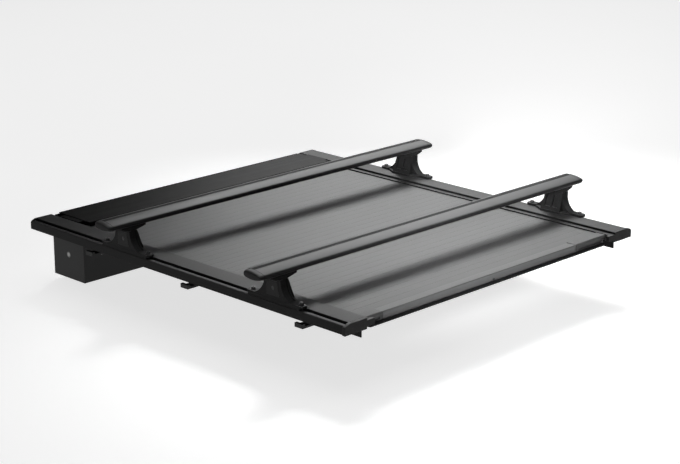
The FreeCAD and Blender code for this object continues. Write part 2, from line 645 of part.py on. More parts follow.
def tower_base(y):
    """Foot with a lug round each bolt, a column, and fins fore and aft, in one casting."""
    z0 = RAIL_TOP + RUN_FIT
    z1 = z0 + FOOT_T
    low, knee, tip = COLUMN_Y + 6.0, COLUMN_Y + 49.0, FOOT_HALF - 7.0
    plan = [(FOOT_IN, -low), (LUG_IN, -knee), (LUG_IN, -tip), (LUG_IN + 7, -FOOT_HALF),
            (FOOT_OUT - 8, -FOOT_HALF), (FOOT_OUT, -FOOT_HALF + 8)]
    plan += [(x, -dy) for x, dy in reversed(plan)]
    foot = prism_z([(x, y + dy) for x, dy in plan], z0, z1)
    heel = box(SLOT_X + SLOT_MOUTH / 2 + 3.0, FOOT_OUT, y - FOOT_HALF + 12, y + FOOT_HALF - 12, OUTER_LIP_Z + 0.3, z0)
    half = COLUMN_W / 2
    side = column_side(y, 0.0)
    parts = [foot, heel]
    for x0, x1, inset in ((TOWER_X - half - 1, TOWER_X - half + 5, 0.0), (TOWER_X - half + 5, FOOT_OUT - 7, RIM),
                          (FOOT_OUT - 7, TOWER_X + half + 1, 0.0)):
        face = fin_face(inset)
        face.translate(V(x0, y, 0))
        parts.append(face.extrude(V(x1 - x0, 0, 0)).common(side))
    inner = prism_x([(y - low, z1 - 1), (y + low, z1 - 1), (y + COLUMN_Y, PED_TOP), (y - COLUMN_Y, PED_TOP)],
                    FOOT_IN, TOWER_X - half + 5)
    parts.append(inner.common(side))
    body = joined(parts)
    cuts = [tower_pocket(y, 0.0)]
    for s in (-1, 1):
        cuts.append(core_out(y + s * 17.0))
        cuts.append(rod_z(BOLT_R + BOLT_FIT, OUTER_LIP_Z - 3, z1 + 12, SLOT_X, y + s * FOOT_BOLT))
    return body.cut(cuts)


def fin_face(inset):
    """Outline of the fins in the YZ plane: upright at the top, swept out to the foot."""
    z1 = RAIL_TOP + RUN_FIT + FOOT_T
    aft, fore, top = FLARE_AFT - inset, FLARE_FORE - inset, COLUMN_Y - inset
    pts = [V(0, -aft, z1 - 1), V(0, -top - 1, z1 + 52), V(0, -top, PED_TOP),
           V(0, top, PED_TOP), V(0, top + 1, z1 + 56), V(0, fore, z1 - 1)]
    sweep = [Part.Arc(pts[0], V(0, -top - 13, z1 + 23), pts[1]).toShape(),
             Part.Arc(pts[4], V(0, top + 18, z1 + 25), pts[5]).toShape()]
    straight = [Part.makeLine(pts[i], pts[j]) for i, j in ((1, 2), (2, 3), (3, 4), (5, 0))]
    return Part.Face(Part.Wire([sweep[0]] + straight[:3] + [sweep[1], straight[3]]))


def column_side(y, proud):
    """Column seen from the tailgate: the outer face leans out, the inner face spreads to the foot."""
    z1 = RAIL_TOP + FOOT_T
    half = COLUMN_W / 2
    return prism_y([(FOOT_IN + 2, z1 - 1), (FOOT_OUT - 0.5 + proud, z1 - 1), (TOWER_X + half + proud, PED_TOP),
                    (TOWER_X - half, PED_TOP)], y - FOOT_HALF, y + FOOT_HALF)


def core_out(y):
    """Shallow hollow in the inner face that keeps the casting's walls even."""
    z0, z1 = RAIL_TOP + FOOT_T + 13.0, PED_TOP - 14.0
    depth, back = 7.0, COLUMN_W / 2 - 5.0
    lean = (TOWER_X - COLUMN_W / 2 - FOOT_IN - 2) / (PED_TOP - RAIL_TOP - FOOT_T)
    x0 = FOOT_IN + 2 + lean * (z0 - RAIL_TOP - FOOT_T)
    x1 = FOOT_IN + 2 + lean * (z1 - RAIL_TOP - FOOT_T)
    return prism_y([(x0 - 6, z0), (x0 + depth, z0), (x1 + depth, z1), (x1 - 6, z1)], y - back, y + back)


def tower_pocket(y, gap):
    """Space in the outer face for the cover; gap shrinks it for the cover itself."""
    z0, z1 = RAIL_TOP + FOOT_T + 9.0 + gap, PED_TOP - 8.0 - gap
    wide, top = 33.0 - gap, 26.0 - gap
    return prism_x([(y - wide, z0), (y + wide, z0), (y + top, z1), (y - top, z1)],
                   FOOT_OUT - 10.0 + 5 * gap, FOOT_OUT + 10.0)


def tower_cover(y):
    body = tower_pocket(y, 0.3).common(column_side(y, 0.8))
    return body.cut(rod_x(CORE_R + RUN_FIT, TOWER_X, FOOT_OUT + 9, y, CORE_Z))


def lock_core(y):
    body = rod_x(CORE_R, FOOT_OUT - 8.0, FOOT_OUT + 2.0, y, CORE_Z)
    key = box(FOOT_OUT - 2, FOOT_OUT + 4, y - 0.7, y + 0.7, CORE_Z - 4.0, CORE_Z + 4.0)
    return body.cut(key)


def saddle(y):
    low, top = WING_LOW - 1.0, WING_LOW + 8.0
    half = COLUMN_W / 2
    body = prism_y([(SADDLE_IN, low), (TOWER_X - half, PED_TOP), (TOWER_X + half, PED_TOP),
                    (SADDLE_OUT, low), (SADDLE_OUT, top), (SADDLE_IN, top)], y - SADDLE_Y, y + SADDLE_Y)
    return body.cut(wing_solid(0.05, SADDLE_IN - 10, SADDLE_OUT + 10, y))


def hex_socket(x, y, z0, z1):
    """Six-sided recess for a key, standing upright."""
    r = SOCKET_AF / math.sqrt(3.0)
    turn = [math.radians(60 * i) for i in range(6)]
    return prism_z([(x + r * math.cos(t), y + r * math.sin(t)) for t in turn], z0, z1)


def foot_bolts(y):
    """Domed bolts with a flange, two on each foot."""
    out = []
    z1 = RAIL_TOP + RUN_FIT + FOOT_T
    for s in (-1, 1):
        yy = y + s * FOOT_BOLT
        washer = rod_z(11.0, z1, z1 + 1.8, SLOT_X, yy)
        head = rod_z(8.5, z1 + 1.8, z1 + 9.0, SLOT_X, yy)
        head = head.makeFillet(3.0, [e for e in head.Edges if e.BoundBox.ZMin > z1 + 8.9])
        shank = rod_z(BOLT_R, SLOT_FLOOR + 1.0, z1, SLOT_X, yy)
        out += both(joined([washer, head, shank]).cut(hex_socket(SLOT_X, yy, z1 + 4.5, z1 + 10)))
    return out


def t_nuts(y):
    out = []
    for s in (-1, 1):
        yy = y + s * FOOT_BOLT
        body = box(SLOT_X - SLOT_WIDE / 2 + 0.5, SLOT_X + SLOT_WIDE / 2 - 0.5, yy - 14, yy + 14,
                   SLOT_FLOOR + 0.5, SLOT_ROOF - 0.1)
        out += both(body.cut(rod_z(BOLT_R, SLOT_FLOOR, SLOT_ROOF, SLOT_X, yy)))
    return out


def build_bar(name, y):
    save(name + "_crossbar", crossbar(y))
    save(name + "_bar_infill", infill(y))
    save(name + "_bar_caps", both(wing_cap(y)))
    save(name + "_foot_bolts", foot_bolts(y))
    save(name + "_t_nuts", t_nuts(y))
    save(name + "_tower_covers", both(tower_cover(y)))
    base, top, core = tower_base(y), saddle(y), lock_core(y)
    for side, turn in (("right", False), ("left", True)):
        save(name + "_tower_" + side, flip(base) if turn else base)
        save(name + "_saddle_" + side, flip(top) if turn else top)
        save(name + "_lock_core_" + side, flip(core) if turn else core)


def build():
    rail = rail_right()
    save("rail_right", rail)
    save("rail_left", flip(rail))
    save("rail_caps_rear", both(rail_cap(-1)))
    save("rail_caps_front", both(rail_cap(1)))
    save("guide_strips", both(guide_strip()))
    save("rail_wipers", both(rail_wiper()))
    save("rail_gaskets", both(rail_gasket()))
    save("curtain_slats", curtain())
    save("slat_glides", glides())
    save("end_rail", end_rail())
    save("end_piece_right", end_piece(END_RIGHT))
    save("end_piece_left", flip(end_piece(-END_LEFT)))
    save("tailgate_seal", tailgate_seal())
    save("lock_cam", lock_cam())
    save("lock_rod_right", rod_right())
    save("lock_rod_left", rod_left())
    save("canister_floor", canister_floor())
    save("canister_rear_wall", canister_rear_wall())
    save("canister_front_wall", canister_front_wall())
    save("canister_ends", both(canister_end()))
    save("canister_screws", canister_screws())
    save("canister_lid", canister_lid())
    save("entry_nose", entry_nose())
    save("lid_brackets", both(lid_bracket()))
    save("lid_screws", lid_screws())
    save("bulkhead_seal", bulkhead_seal())
    save("drain_nipples", drain_nipples())
    save("drum_tube", drum_tube())
    save("drum_hubs", drum_hubs())
    save("drum_bushings", drum_bushings())
    save("spring_shaft", spring_shaft())
    save("assist_spring", assist_spring())
    save("leader_straps", leader_straps())
    save("clamp_brackets", clamp_brackets())
    save("clamp_jaws", clamp_jaws())
    save("clamp_bolts", clamp_bolts())
    build_bar("front", FRONT_BAR_Y)
    build_bar("rear", REAR_BAR_Y)


build()
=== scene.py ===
# %% [markdown]
# # A roll-up truck bed cover with crossbars
#
# This lesson dresses a finished mechanical model of a tonneau cover. The cover is a row of aluminium
# slats between two side rails; it rolls into a canister at the cab end. Two wing-section crossbars stand
# on towers that clamp into a slot along each rail.
#
# The solids arrive with real sizes in metres: X across the truck, +Y toward the cab, +Z up. Blender adds
# what solids lack: eased edges, coatings, grain and light. So the first cell loads the solids and keeps
# the size of their box, which the dressed model has to stay inside.

# %% Load the solids
import json
import math

import bmesh
import bpy
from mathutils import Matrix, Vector

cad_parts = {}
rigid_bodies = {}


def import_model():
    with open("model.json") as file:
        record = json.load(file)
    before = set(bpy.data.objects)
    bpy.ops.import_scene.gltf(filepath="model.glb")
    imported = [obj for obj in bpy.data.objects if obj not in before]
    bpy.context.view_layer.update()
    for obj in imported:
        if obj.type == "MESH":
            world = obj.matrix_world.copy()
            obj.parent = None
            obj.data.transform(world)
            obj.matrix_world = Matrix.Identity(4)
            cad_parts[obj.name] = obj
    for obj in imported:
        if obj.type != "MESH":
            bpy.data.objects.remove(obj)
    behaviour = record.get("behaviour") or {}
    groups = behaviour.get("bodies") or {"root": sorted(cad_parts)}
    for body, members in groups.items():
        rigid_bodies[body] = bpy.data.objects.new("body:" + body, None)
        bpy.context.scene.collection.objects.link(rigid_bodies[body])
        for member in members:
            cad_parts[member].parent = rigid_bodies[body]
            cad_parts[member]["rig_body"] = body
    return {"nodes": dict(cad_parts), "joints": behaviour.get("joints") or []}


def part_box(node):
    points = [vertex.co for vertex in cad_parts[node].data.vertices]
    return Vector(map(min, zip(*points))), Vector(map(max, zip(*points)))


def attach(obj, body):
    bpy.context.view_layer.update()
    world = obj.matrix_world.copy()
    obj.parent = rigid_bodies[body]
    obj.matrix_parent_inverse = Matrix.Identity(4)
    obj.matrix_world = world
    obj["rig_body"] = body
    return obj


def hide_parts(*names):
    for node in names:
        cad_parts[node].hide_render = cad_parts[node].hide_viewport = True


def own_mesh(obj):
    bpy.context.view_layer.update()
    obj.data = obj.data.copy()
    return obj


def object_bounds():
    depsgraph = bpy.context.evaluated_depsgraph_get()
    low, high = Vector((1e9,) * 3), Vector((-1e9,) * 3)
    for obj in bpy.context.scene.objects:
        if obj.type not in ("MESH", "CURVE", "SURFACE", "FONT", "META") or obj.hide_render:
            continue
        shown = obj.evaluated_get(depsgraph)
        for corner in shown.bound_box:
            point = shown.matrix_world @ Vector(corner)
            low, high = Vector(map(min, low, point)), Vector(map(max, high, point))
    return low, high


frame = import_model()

solid_box = [list(corner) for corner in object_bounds()]
print("solids:", len(frame["nodes"]), "nodes, box", solid_box)

# %% [markdown]
# ## Where we stand
#
# Such a cover shows itself best from behind the left rear wheel, a little above the bed. The camera is
# seven metres away with a long lens, so the rails stay nearly parallel. Placing it first means every later
# choice, such as how fine a grain should be, can be judged from where it will be seen.

# %% The camera
EYE = Vector((-4.836, -4.859, 2.093))
AIM = Vector((0.012, -0.055, 0.012))
LENS_MM, SIGHT_LIMIT = 97.0, 100


def place_camera(name, eye, aim, lens):
    camera = bpy.data.objects.new(name, bpy.data.cameras.new(name))
    bpy.context.scene.collection.objects.link(camera)
    camera.location = eye
    camera.rotation_euler = (aim - eye).to_track_quat("-Z", "Y").to_euler()
    camera.data.lens = lens
    camera.data.clip_end = SIGHT_LIMIT
    bpy.context.scene.camera = camera


place_camera("view_from_rear_left", EYE, AIM, LENS_MM)
print("camera is %.2f m away" % (AIM - EYE).length)

# %% [markdown]
# ## Soft studio light
#
# The cover lies flat and its parts are black, so the light has to tell the tops from the sides. A key lamp
# beyond the right rail, ahead of the cover and above it, lights the slats brightest in the middle and lets
# them fade to the left; its width softens the band that each crossbar throws on the slats behind it. A broad
# ceiling and a dim room fill the shadows, a lamp farther out on the same side adds sheen, and a weak one
# behind the tailgate end lights the end rail. A small narrow lamp, low beyond the rear left corner, lights
# the inner sides of the two far towers, which the others hardly reach. The floor glows too, to stay white.

# %% The room: floor, sky and lamps
FLOOR_GAP, FLOOR_HALF = 0.001, 30.0
FLOOR_Z = solid_box[0][2] - FLOOR_GAP


def pale_room(strength):
    world = bpy.data.worlds.new("pale_room")
    world.use_nodes = True
    back = world.node_tree.nodes["Background"]
    back.inputs["Color"].default_value = (1.0, 1.0, 1.0, 1.0)
    back.inputs["Strength"].default_value = strength
    bpy.context.scene.world = world


def softbox(name, where, aim, width, depth, power, spread=180):
    lamp = bpy.data.lights.new(name, "AREA")
    lamp.shape, lamp.size, lamp.size_y, lamp.energy = "RECTANGLE", width, depth, power
    lamp.spread = math.radians(spread)
    box = bpy.data.objects.new(name, lamp)
    box.location = where
    box.rotation_euler = (Vector(aim) - Vector(where)).to_track_quat("-Z", "Y").to_euler()
    bpy.context.scene.collection.objects.link(box)


def studio_floor(z, half):
    mesh = bpy.data.meshes.new("studio_floor")
    corners = [(-half, -half, z), (half, -half, z), (half, half, z), (-half, half, z)]
    mesh.from_pydata(corners, [], [(0, 1, 2, 3)])
    floor = bpy.data.objects.new("studio_floor", mesh)
    bpy.context.scene.collection.objects.link(floor)
    return floor


bpy.context.scene.view_settings.view_transform = "Standard"
pale_room(0.08)
softbox("ceiling", (1.0, 1.0, 7.0), (1.0, 1.0, 0), 9.0, 9.0, 130)
softbox("key", (2.1, 1.45, 2.45), (0.62, -0.20, 0), 2.2, 2.2, 25, 32)
softbox("tower_fill", (-1.6, -1.6, 0.75), (0.8, -0.1, 0.12), 0.5, 0.5, 7, 26)
softbox("sheen_right", (5.2, 4.6, 2.6), (0, 0, 0), 3.5, 2.5, 10)
softbox("fill_rear", (1.6, -4.8, 1.8), (0, -0.8, 0), 2.4, 1.4, 12)
floor = studio_floor(FLOOR_Z, FLOOR_HALF)
print("lamps:", len(bpy.data.lights), "and a floor at z = %.3f m" % FLOOR_Z)

# %% [markdown]
# ## A small language for coatings
#
# A coating is a graph of nodes, but it reads better as arithmetic: `0.04 + 0.02 * grain`. The class
# `Signal` wraps one socket, and adding or multiplying signals adds the Math nodes. `Coating` owns one
# material. Its `node` method makes any node from its type, its settings and what feeds its sockets, so
# the rest of the lesson never touches a node tree directly.

# %% Signals and coatings
class Signal:
    """One value travelling through a coating's nodes."""

    def __init__(self, coating, socket):
        self.coating, self.socket = coating, socket

    def _math(self, operation, first, second):
        return self.coating.node("ShaderNodeMath", {"operation": operation}, {0: first, 1: second})

    def __add__(self, other):
        return self._math("ADD", self, other)

    __radd__ = __add__

    def __sub__(self, other):
        return self._math("SUBTRACT", self, other)

    def __rsub__(self, other):
        return self._math("SUBTRACT", other, self)

    def __mul__(self, other):
        return self._math("MULTIPLY", self, other)

    __rmul__ = __mul__

    def within(self, low, high):
        """0 below low, 1 above high and evenly between."""
        return self.coating.node("ShaderNodeMapRange", {"clamp": True},
                                 {"Value": self, "From Min": low, "From Max": high})


class Coating:
    """One material and the nodes that feed its shader."""

    def __init__(self, name, metallic=0.0, **fixed):
        self.material = bpy.data.materials.new(name)
        self.material.use_nodes = True
        self.tree = self.material.node_tree
        self.shader = next(n for n in self.tree.nodes if n.type == "BSDF_PRINCIPLED")
        self.shader.inputs["Metallic"].default_value = metallic
        for name, value in fixed.items():
            socket = name.replace("_", " ").title().replace("Ior", "IOR")
            self.shader.inputs[socket].default_value = value
        self.where = self.node("ShaderNodeTexCoord", out="Object")

    def node(self, kind, settings=None, sockets=None, out=0):
        made = self.tree.nodes.new(kind)
        for key, value in (settings or {}).items():
            setattr(made, key, value)
        for key, value in (sockets or {}).items():
            if isinstance(value, Signal):
                self.tree.links.new(value.socket, made.inputs[key])
            else:
                made.inputs[key].default_value = value
        return Signal(self, made.outputs[out])

    def stretched(self, x, y, z):
        return self.node("ShaderNodeVectorMath", {"operation": "MULTIPLY"}, {0: self.where, 1: (x, y, z)})

    def noise(self, x, y=None, z=None, detail=3.0, roughness=0.5):
        """Cloudy noise with so many features per metre along each axis."""
        spot = self.stretched(x, x if y is None else y, x if z is None else z)
        return self.node("ShaderNodeTexNoise", None,
                         {"Vector": spot, "Scale": 1.0, "Detail": detail, "Roughness": roughness})

    def facing_up(self, low=0.25, high=0.9):
        """1 on faces that look up, 0 on faces that look sideways or down."""
        # The coatings use this mask to put painted sheen on tops and painted shade on sides.
        normal = self.node("ShaderNodeNewGeometry", out="Normal")
        return self.node("ShaderNodeSeparateXYZ", None, {0: normal}, out="Z").within(low, high)

    def mix(self, share, first, second):
        """From the first colour to the second as share goes from 0 to 1."""
        start, end = [c if isinstance(c, Signal) else (*c, 1.0) for c in (first, second)]
        return self.node("ShaderNodeMix", {"data_type": "RGBA"}, {0: share, 6: start, 7: end}, out=2)

    def finish(self, colour, roughness, height=None, depth=0.0002, strength=0.5):
        for socket, signal in (("Base Color", colour), ("Roughness", roughness)):
            if isinstance(signal, Signal):
                self.tree.links.new(signal.socket, self.shader.inputs[socket])
            else:
                self.shader.inputs[socket].default_value = signal
        if height is not None:
            bump = self.node("ShaderNodeBump", None,
                             {"Height": height, "Distance": depth, "Strength": strength}, out="Normal")
            self.tree.links.new(bump.socket, self.shader.inputs["Normal"])
        return self.material


# %% [markdown]
# ## Coatings
#
# The slats and rails are powder coated: a fine pebbled skin, slightly cloudy, with faint lines where the
# extrusion shows through. Extrusions get their lines along their own length, so the slats and wings run
# across the truck and the rails run along it. The wings and the bed clamps are anodised, with a finer and
# shallower grain; castings get a coarser and deeper pebble.
#
# Black parts are not black from every side in this light. Faces that look up are painted a lighter grey,
# a painted sheen, while the sides are painted darker, painted shade. So each coating has a side tone and a
# top sheen, and the height of the face's normal picks between them. The end rail is the exception: its sides
# are painted paler than its top, painted light on its rear face.

# %% Powder coats
def grey(level, blue=0.02):
    """A grey that leans slightly toward blue, as carbon black does."""
    return (level, level * (1 + blue / 2), level * (1 + blue))


def powder(name, side_tone, top_sheen, rough, lines, pebble=2600.0, pebble_depth=0.00012, up=(0.25, 0.9), **fixed):
    """Powder coat; lines gives features per metre along x, y and z, few of them along an extrusion."""
    coat = Coating(name, **fixed)
    cloud = coat.noise(5.0, detail=2.0)
    line = coat.noise(*lines, detail=3.0, roughness=0.62)
    grain = coat.noise(pebble, detail=1.0)
    tone = (0.35 * cloud + 0.65 * line).within(0.3, 0.7)
    # Two painted copies of the coat: the side tone is painted shade and the top sheen is painted light.
    side = coat.mix(tone, grey(side_tone * 0.8), grey(side_tone * 1.25))
    top = coat.mix(tone, grey(top_sheen * 0.88), grey(top_sheen * 1.10))
    # The height of the face's normal picks the painted top sheen over the painted side shade.
    colour = coat.mix(coat.facing_up(*up) * (0.86 + 0.14 * cloud), side, top)
    roughness = rough + 0.10 * cloud + 0.14 * line - 0.12
    return coat.finish(colour, roughness, 0.72 * grain + 0.28 * line, pebble_depth, 0.55)


slat_coat = powder("slat_powder_coat", 0.008, 0.052, 0.50, (1.3, 420.0, 300.0), up=(0.0, 0.6),
                   specular_ior_level=0.22)
rail_coat = powder("rail_powder_coat", 0.005, 0.049, 0.48, (500.0, 1.1, 500.0), specular_ior_level=0.09)
wing_coat = powder("wing_anodising", 0.008, 0.058, 0.50, (1.2, 520.0, 520.0), pebble=4200.0,
                   pebble_depth=0.00004, up=(0.5, 0.92), specular_ior_level=0.14)
# The end rail's sides are painted paler than its top: painted light on its rear face.
end_rail_coat = powder("end_rail_powder_coat", 0.090, 0.038, 0.48, (1.2, 480.0, 480.0),
                       specular_ior_level=0.30)
# The lid's coat is black, painted darker still: a painted dark reflection on the lid.
lid_coat = powder("lid_powder_coat", 0.004, 0.006, 0.50, (1.0, 90.0, 90.0), specular_ior_level=0.05)
canister_coat = powder("canister_powder_coat", 0.010, 0.030, 0.46, (3.0, 3.0, 3.0),
                       specular_ior_level=0.20)
clamp_coat = powder("clamp_anodising", 0.008, 0.020, 0.44, (300.0, 1.5, 300.0), pebble=4200.0,
                    pebble_depth=0.00004, specular_ior_level=0.20)
tower_coat = powder("casting_powder_coat", 0.009, 0.040, 0.50, (34.0, 34.0, 34.0), pebble=1500.0,
                    pebble_depth=0.00030, specular_ior_level=0.06)
coats = (slat_coat, rail_coat, wing_coat, end_rail_coat, lid_coat, canister_coat, clamp_coat, tower_coat)
print("powder coats and anodising:", len(coats))

# %% [markdown]
# Mouldings are grained so that scuffs don't show: a cell pattern of small bumps. Rubber is duller and a
# little dusty. Both are nearly black, so roughness and grain carry the difference between them. The end
# rail's moulded ends are a shade greyer, the nylon glides are paler and smoother, and straps are woven.

# %% Mouldings, rubber and webbing
def grained(name, side_tone, top_sheen, rough, cell=1400.0, depth=0.00016, dust=0.0, **fixed):
    coat = Coating(name, **fixed)
    cells = coat.node("ShaderNodeTexVoronoi", {"feature": "SMOOTH_F1"},
                      {"Vector": coat.where, "Scale": cell, "Smoothness": 0.6}, out="Distance")
    cloud = coat.noise(22.0, detail=4.0)
    patch = coat.noise(160.0, detail=2.0).within(0.52, 0.72)
    # The side tone is painted shade, and the top sheen on faces that look up is painted light.
    side = coat.mix(cloud.within(0.3, 0.75) + dust * patch, grey(side_tone * 0.8), grey(side_tone * 1.3))
    colour = coat.mix(coat.facing_up() * (0.7 + 0.3 * cloud), side, grey(top_sheen))
    return coat.finish(colour, rough + 0.12 * cloud - 0.06 + 0.05 * patch, cells, depth, 0.5)


moulding = grained("moulded_plastic", 0.007, 0.050, 0.52, specular_ior_level=0.13)
end_moulding = grained("end_piece_plastic", 0.045, 0.050, 0.50, specular_ior_level=0.20)
rubber = grained("seal_rubber", 0.007, 0.010, 0.76, cell=900.0, depth=0.00010, dust=0.35,
                 specular_ior_level=0.12)
nylon = grained("glide_nylon", 0.050, 0.070, 0.38, cell=700.0, depth=0.00004)


def woven(name, dark, light):
    coat = Coating(name)
    warp = coat.node("ShaderNodeTexWave", {"bands_direction": "X"}, {"Vector": coat.where, "Scale": 240.0})
    weft = coat.node("ShaderNodeTexWave", {"bands_direction": "Z"}, {"Vector": coat.where, "Scale": 200.0})
    weave = warp * weft
    return coat.finish(coat.mix(weave, dark, light), 0.82 - 0.1 * weave, weave, 0.0004, 0.6)


webbing = woven("strap_webbing", grey(0.012), grey(0.036))
print("mouldings, rubber and webbing:", len((moulding, end_moulding, rubber, nylon, webbing)))

# %% [markdown]
# Bare metal is the one place where the Metallic socket is full, so its colour is that of its reflections.
# Zinc plate has a faint crystalline mottle, the lock faces have a finer and darker one, and mill aluminium
# has draw lines. Bolts are black oxide: dark and a little oily, with small paler patches where it has worn.

# %% Bare metals and bolts
def plated(name, dark, light, rough, cell=260.0):
    coat = Coating(name, metallic=1.0)
    mottle = coat.node("ShaderNodeTexVoronoi", None, {"Vector": coat.where, "Scale": cell}, out="Distance")
    haze = coat.noise(60.0, detail=4.0)
    colour = coat.mix(haze.within(0.3, 0.7), dark, light)
    return coat.finish(colour, rough + 0.14 * haze + 0.08 * mottle - 0.10, haze, 0.00004, 0.3)


def drawn(name, dark, light, rough, lines):
    coat = Coating(name, metallic=1.0)
    line = coat.noise(*lines, detail=4.0, roughness=0.7)
    return coat.finish(coat.mix(line.within(0.3, 0.7), dark, light), rough + 0.22 * line - 0.11,
                       line, 0.00003, 0.35)


zinc = plated("zinc_plate", (0.22, 0.22, 0.215), (0.32, 0.32, 0.31), 0.42)
lock_face = plated("lock_face", (0.035, 0.035, 0.035), (0.060, 0.060, 0.060), 0.34, cell=900.0)
mill = drawn("mill_aluminium", (0.24, 0.245, 0.25), (0.36, 0.365, 0.37), 0.46, (2.0, 420.0, 420.0))


def oxide(name):
    coat = Coating(name, specular_ior_level=0.6)
    haze = coat.noise(110.0, detail=4.0)
    rub = haze.within(0.60, 0.78)
    return coat.finish(coat.mix(rub, (0.009, 0.009, 0.010), (0.045, 0.044, 0.042)), 0.30 + 0.22 * haze,
                       haze, 0.00005, 0.3)


bolt_black = oxide("black_oxide")
shaded = [material for material in bpy.data.materials if material.use_nodes]
print("node materials, with those that came with the solids:", len(shaded))

# %% [markdown]
# ## Eased edges
#
# No coated edge is sharp: paint pulls back from a corner and leaves a fine rounded line that catches the
# light. Rather than rebuild each casting, this helper copies a solid, merges the flat triangles that the
# exchange file cut it into, and bevels what is left of its corners. The copy then stands for the solid.

# %% Helpers that make a visible piece from a solid
WELD_DISTANCE, FLAT_WITHIN = 0.00001, 0.6
EASE_FROM, SMOOTH_EASED, SMOOTH_DRAWN, SMOOTH_CAPS = 30, 40, 45, 35


def welded(node):
    """The solid's mesh with its corners joined and its flat faces whole."""
    mesh = frame["nodes"][node].data.copy()
    work = bmesh.new()
    work.from_mesh(mesh)
    bmesh.ops.remove_doubles(work, verts=work.verts, dist=WELD_DISTANCE)
    flat = math.radians(FLAT_WITHIN)
    bmesh.ops.dissolve_limit(work, angle_limit=flat, verts=work.verts, edges=work.edges)
    work.to_mesh(mesh)
    work.free()
    mesh.materials.clear()
    return mesh


def smooth_by_angle(mesh, degrees):
    for face in mesh.polygons:
        face.use_smooth = True
    mesh.set_sharp_from_angle(angle=math.radians(degrees))


def stand_in(name, mesh, node, material):
    """A piece that shows in place of a solid and moves with its body."""
    piece = bpy.data.objects.new(name, mesh)
    bpy.context.scene.collection.objects.link(piece)
    mesh.materials.append(material)
    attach(piece, frame["nodes"][node]["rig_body"])
    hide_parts(node)
    return piece


def eased(node, material, radius, steps=2):
    """A stand-in for a solid, with every edge that turns by more than EASE_FROM degrees rounded off."""
    piece = bpy.data.objects.new(node + "_eased", welded(node))
    bpy.context.scene.collection.objects.link(piece)
    bevel = piece.modifiers.new("eased edges", "BEVEL")
    bevel.width, bevel.segments, bevel.limit_method = radius, steps, "ANGLE"
    bevel.angle_limit = math.radians(EASE_FROM)
    smooth_by_angle(piece.data, SMOOTH_EASED)
    flat = piece.modifiers.new("flat faces stay flat", "WEIGHTED_NORMAL")
    flat.keep_sharp = True
    bpy.context.view_layer.update()
    finished = piece.evaluated_get(bpy.context.evaluated_depsgraph_get())
    mesh = bpy.data.meshes.new_from_object(finished)
    bpy.data.objects.remove(piece)
    return stand_in(node + "_eased", mesh, node, material)


def dress(node, material):
    """A better coating on a solid that is already the right shape."""
    for place in frame["nodes"][node].material_slots:
        place.material = material


def report(group, *pieces):
    """Says how many faces the pieces just made have."""
    faces = sum(len(piece.data.polygons) for piece in pieces)
    print("%s: %d eased pieces, %d faces" % (group, len(pieces), faces))


# %% [markdown]
# ## The rails
#
# Each rail is one long extrusion. From outside in it shows a low lip, the slot that the towers clamp
# into, a flat top, a wall down to the slats and a thin lip over their edge. Moulded caps close its ends.

# %% Dress the rails
SIDES = ("right", "left")
ENDS = ("rear", "front")
rails = [eased("rail_" + side, rail_coat, 0.0006) for side in SIDES]
caps = [eased("rail_caps_" + end, moulding, 0.0012, steps=3) for end in ENDS]
dress("guide_strips", nylon)
dress("rail_wipers", rubber)
dress("rail_gaskets", rubber)
report("rails and caps", *rails, *caps)

# %% [markdown]
# ## The slats
#
# Each slat is an extrusion, forty millimetres from joint to joint, with a bead on its front edge that
# hooks into the next slat. The top is very slightly crowned, with rounded shoulders at each joint, which
# is what draws the fine lines across the cover. The outline is drawn once, in millimetres, as a list of
# points, then stretched across the bed and repeated.
#
# When the cover opens, the real slats wind round a drum. No rigid motion can show that.

# %% Draw one slat and repeat it
PITCH, SLATS, FIRST = 40.0, 37, -800.0
SLAT_HALF_LENGTH, SLAT_UNDER, SLAT_TOP, SLAT_CROWN = 671.5, 14.4, 26.0, 0.08
FOOT_IN, TOE_IN, FLANK_Z, SHOULDER, JOINT_HALF_GAP = 2.6, 2.0, 18.0, 0.35, 0.14
HOOK_Y, HOOK_Z = 4.9, 19.5
BEAD_RADIUS, BEAD_NECK, BEAD_SWEEP = 2.3, 0.7, 162
SOCKET_RADIUS, SOCKET_MOUTH, SOCKET_SWEEP = 2.75, 1.1, 156
GATHER_Y = 0.70


def arc(cy, cz, r, start, stop, steps):
    """Points in millimetres on a circle, angles in degrees from +Y toward +Z."""
    turn = [math.radians(start + (stop - start) * i / steps) for i in range(steps + 1)]
    return [(cy + r * math.cos(t), cz + r * math.sin(t)) for t in turn]


def slat_outline():
    """One slat from its end: underside, bead in front, crowned top with two shoulders, socket behind."""
    near, far = JOINT_HALF_GAP, PITCH - JOINT_HALF_GAP
    edge_z = SLAT_TOP - SLAT_CROWN - SHOULDER
    line = [(FOOT_IN, SLAT_UNDER), (far - TOE_IN, SLAT_UNDER), (far, FLANK_Z), (far, HOOK_Z - BEAD_NECK)]
    line += arc(PITCH + HOOK_Y, HOOK_Z, BEAD_RADIUS, -BEAD_SWEEP, BEAD_SWEEP, 10)
    line.append((far, HOOK_Z + BEAD_NECK))
    line += arc(far - SHOULDER, edge_z, SHOULDER, 0, 90, 4)
    width = far - near - 2 * SHOULDER
    for i in range(1, 8):
        t = 1 - i / 8
        line.append((near + SHOULDER + width * t, SLAT_TOP - SLAT_CROWN * (2 * t - 1) ** 2))
    line += arc(near + SHOULDER, edge_z, SHOULDER, 90, 180, 4)
    line.append((near, HOOK_Z + SOCKET_MOUTH))
    line += arc(HOOK_Y, HOOK_Z, SOCKET_RADIUS, SOCKET_SWEEP, -SOCKET_SWEEP, 10)
    line += [(near, HOOK_Z - SOCKET_MOUTH), (near, FLANK_Z)]
    return line


